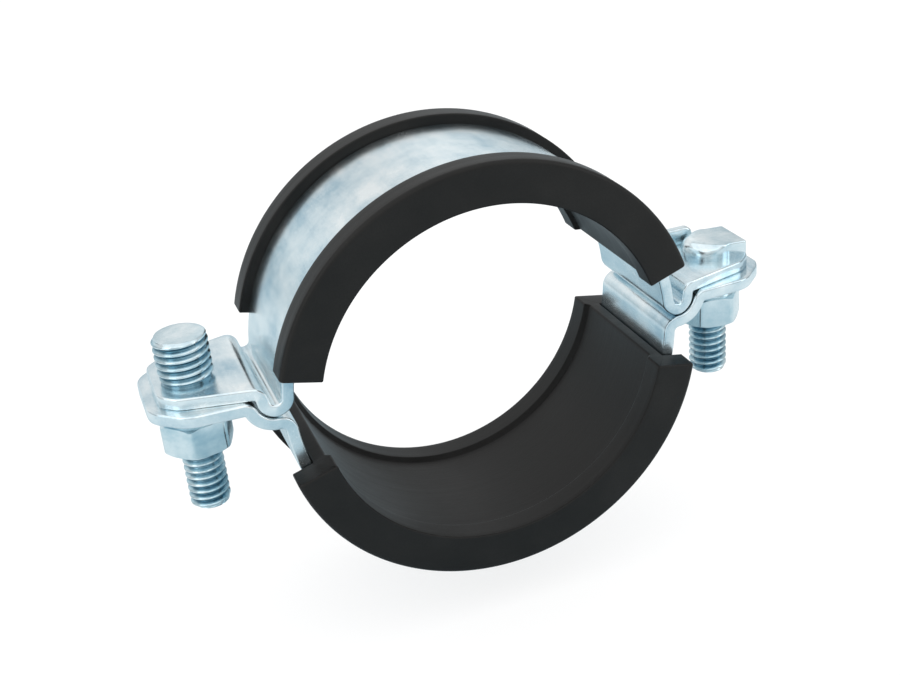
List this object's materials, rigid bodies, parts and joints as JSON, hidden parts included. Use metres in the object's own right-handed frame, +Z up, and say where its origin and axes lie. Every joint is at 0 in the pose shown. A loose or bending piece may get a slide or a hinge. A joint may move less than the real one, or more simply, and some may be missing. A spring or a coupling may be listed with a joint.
{
  "type": "rubber lined pipe clamp",
  "caption": "Two-part steel pipe clamp with a rubber lining, clamped by a threaded stud on one side and a headed bolt on the other.",
  "frame": {"origin": "centre of the pipe bore, midway along the pipe", "axes": "+X along the ears towards the headed side bolt, +Y along the pipe away from the edge the bolts stand nearer to, +Z up along the threaded stud"},
  "size_m": [0.1276, 0.0392, 0.0848],
  "materials": {
    "zinc_plate": "bright zinc plating on sheet steel",
    "zinc_hardware": "bright zinc plating on turned and threaded steel",
    "rubber": "matt black extruded rubber"
  },
  "bodies": {
    "upper_half": {"upper_strap": "zinc_plate", "upper_liner": "rubber", "stud_bolt": "zinc_hardware", "side_bolt": "zinc_hardware"},
    "lower_half": {"lower_strap": "zinc_plate", "lower_liner": "rubber"},
    "left_nut": {"stud_nut": "zinc_hardware"},
    "right_nut": {"side_nut": "zinc_hardware"}
  },
  "joints": [
    {"name": "lower_half_drop", "type": "slide", "parent": "upper_half", "child": "lower_half", "axis": [0, 0, -1], "range_m": [0, 0.01]},
    {"name": "left_nut_turn", "type": "hinge", "parent": "lower_half", "child": "left_nut", "pos_m": [-0.055, -0.0014, -0.0042], "axis": [0, 0, -1], "range_deg": [0, 2400]},
    {"name": "right_nut_turn", "type": "hinge", "parent": "lower_half", "child": "right_nut", "pos_m": [0.055, -0.0014, -0.0048], "axis": [0, 0, -1], "range_deg": [0, 2400]}
  ],
  "couplings": [
    {"joint": "left_nut_turn", "follows": "lower_half_drop", "rad_per_m": 4188.8},
    {"joint": "right_nut_turn", "follows": "lower_half_drop", "rad_per_m": 4188.8}
  ]
}
